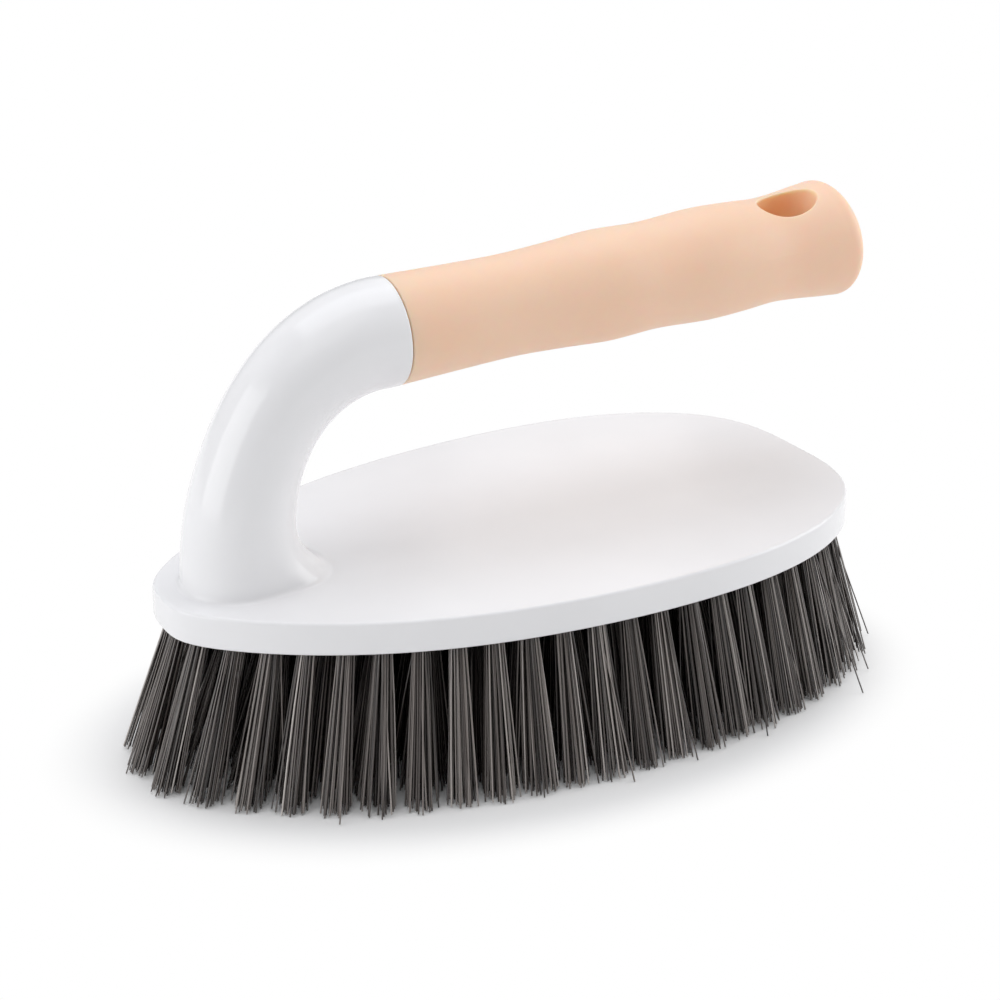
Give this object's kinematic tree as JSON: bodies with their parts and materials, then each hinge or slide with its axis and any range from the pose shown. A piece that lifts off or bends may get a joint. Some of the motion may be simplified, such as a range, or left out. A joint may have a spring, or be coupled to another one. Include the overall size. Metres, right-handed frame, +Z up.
{
  "type": "scrubbing brush",
  "caption": "Scrubbing brush with a flat oval back, a gooseneck handle with a waved grip and a hanging eye, and outward-leaning bristle tufts set in a drilled plate.",
  "frame": {"origin": "on the plane of the bristle tips, under the middle of the oval back; the brush stands on z = 0", "axes": "+X along the back from the neck end to the free end, +Z up through the back towards the grip, +Y to the left of someone looking along +X"},
  "size_m": [0.2325, 0.138, 0.1349],
  "materials": {
    "white_gloss": "glossy moulded polypropylene, cool white",
    "peach_grip": "matt, slightly translucent moulded thermoplastic, peach",
    "white_block": "satin moulded polypropylene, white",
    "monofilament": "semi-gloss dark grey-brown monofilament"
  },
  "bodies": {
    "root": {"back_shell": "white_gloss", "grip": "peach_grip", "tuft_plate": "white_block", "tuft_ring_1_01": "monofilament", "tuft_ring_1_02": "monofilament", "tuft_ring_1_03": "monofilament", "tuft_ring_1_04": "monofilament", "tuft_ring_1_05": "monofilament", "tuft_ring_1_06": "monofilament", "tuft_ring_1_07": "monofilament", "tuft_ring_1_08": "monofilament", "tuft_ring_1_09": "monofilament", "tuft_ring_1_10": "monofilament", "tuft_ring_2_01": "monofilament", "tuft_ring_2_02": "monofilament", "tuft_ring_2_03": "monofilament", "tuft_ring_2_04": "monofilament", "tuft_ring_2_05": "monofilament", "tuft_ring_2_06": "monofilament", "tuft_ring_2_07": "monofilament", "tuft_ring_3_01": "monofilament", "tuft_ring_3_02": "monofilament", "tuft_ring_3_03": "monofilament", "tuft_ring_3_04": "monofilament", "tuft_ring_3_05": "monofilament", "tuft_ring_3_06": "monofilament", "tuft_ring_4_01": "monofilament", "tuft_ring_4_02": "monofilament", "tuft_ring_4_03": "monofilament", "tuft_ring_4_04": "monofilament", "tuft_ring_4_05": "monofilament", "tuft_ring_5_01": "monofilament", "tuft_ring_5_02": "monofilament", "tuft_ring_5_03": "monofilament", "tuft_ring_5_04": "monofilament", "tuft_middle_row_01": "monofilament", "tuft_middle_row_02": "monofilament", "tuft_middle_row_03": "monofilament"}
  },
  "joints": []
}
